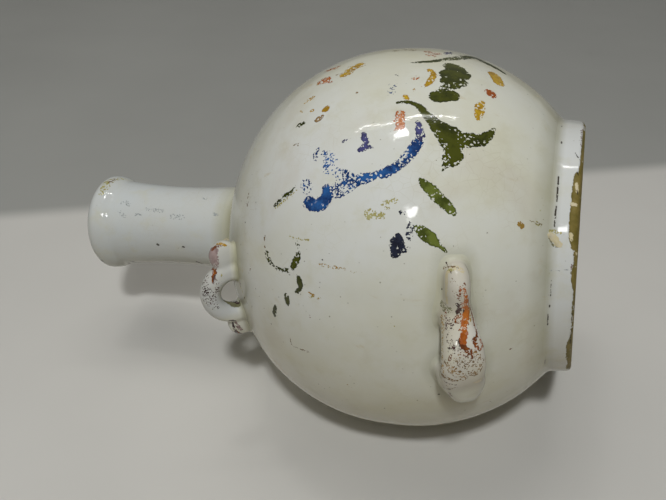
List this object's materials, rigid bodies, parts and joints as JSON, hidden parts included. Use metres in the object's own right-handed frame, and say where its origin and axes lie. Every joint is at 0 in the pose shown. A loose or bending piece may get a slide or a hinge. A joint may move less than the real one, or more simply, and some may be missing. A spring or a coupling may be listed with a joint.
{
  "type": "pilgrim flask",
  "caption": "Round-bodied glazed flask with a long waisted neck, rolled lip, low foot ring and pierced carrying loops at the shoulder and lower belly.",
  "frame": {"origin": "middle of the foot ring's underside, on the flask's axis", "axes": "+Z along the neck, towards the mouth; the loops stand at +X and -X; the painted front faces -Y"},
  "size_m": [0.2384, 0.21, 0.288],
  "materials": {
    "body_glaze": "glossy tin glaze, off-white",
    "neck_glaze": "glossy tin glaze, cool white",
    "foot_glaze": "glossy tin glaze with a bare clay edge",
    "loop_glaze": "glossy tin glaze with worn orange and purple paint"
  },
  "bodies": {
    "root": {"globe": "body_glaze", "neck": "neck_glaze", "foot_ring": "foot_glaze", "shoulder_loop_left": "loop_glaze", "shoulder_loop_right": "loop_glaze", "lower_loop_left": "loop_glaze", "lower_loop_right": "loop_glaze"}
  },
  "joints": []
}
